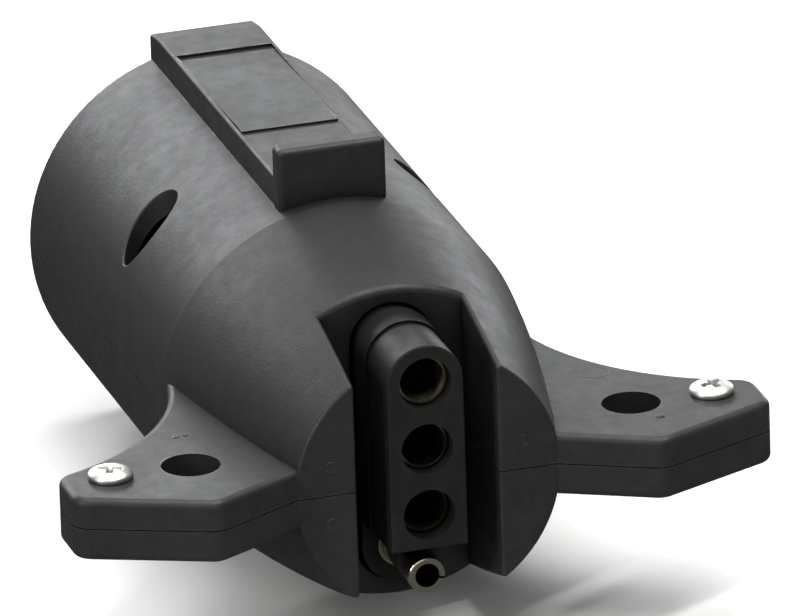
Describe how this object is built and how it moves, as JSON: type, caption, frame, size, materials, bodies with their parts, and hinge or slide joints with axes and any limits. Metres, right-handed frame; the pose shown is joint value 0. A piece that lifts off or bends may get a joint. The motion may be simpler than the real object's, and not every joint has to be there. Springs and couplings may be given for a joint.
{
  "type": "trailer wiring connector",
  "caption": "Trailer wiring adapter: a round blade plug with a key bar at one end, a flat socket connector at the other, in a two-piece body with bolt-down ears.",
  "frame": {"origin": "on the round plug's axis, in the plane of its open rim", "axes": "+Y along the plug's axis, out of its rim towards the vehicle's socket; +Z towards the key bar, square to the seam of the two shells; +X to the right"},
  "size_m": [0.0866, 0.0978, 0.0527],
  "materials": {
    "body_plastic": "moulded matte black",
    "housing_plastic": "smooth black",
    "insulator_plastic": "smooth black",
    "screw_steel": "bright zinc plate",
    "contact_brass": "satin sheet",
    "socket_metal": "bright plated",
    "wire_white": "insulation",
    "wire_brown": "insulation",
    "wire_yellow": "insulation",
    "wire_green": "insulation"
  },
  "bodies": {
    "root": {"upper_shell": "body_plastic", "lower_shell": "body_plastic", "screw_left": "screw_steel", "screw_right": "screw_steel", "contact_carrier": "insulator_plastic", "carrier_back_plate": "insulator_plastic", "contact_reverse_lamps": "contact_brass", "contact_battery": "contact_brass", "contact_tail_lamps": "contact_brass", "contact_brake": "contact_brass", "contact_ground": "contact_brass", "contact_right_turn": "contact_brass", "contact_left_turn": "contact_brass", "flat_connector_housing": "housing_plastic", "flat_connector_base": "housing_plastic", "socket_right_turn": "socket_metal", "socket_left_turn": "socket_metal", "socket_tail_lamps": "socket_metal", "ground_pin": "socket_metal", "wire_ground": "wire_white", "wire_tail_lamps": "wire_brown", "wire_left_turn": "wire_yellow", "wire_right_turn": "wire_green"}
  },
  "joints": []
}
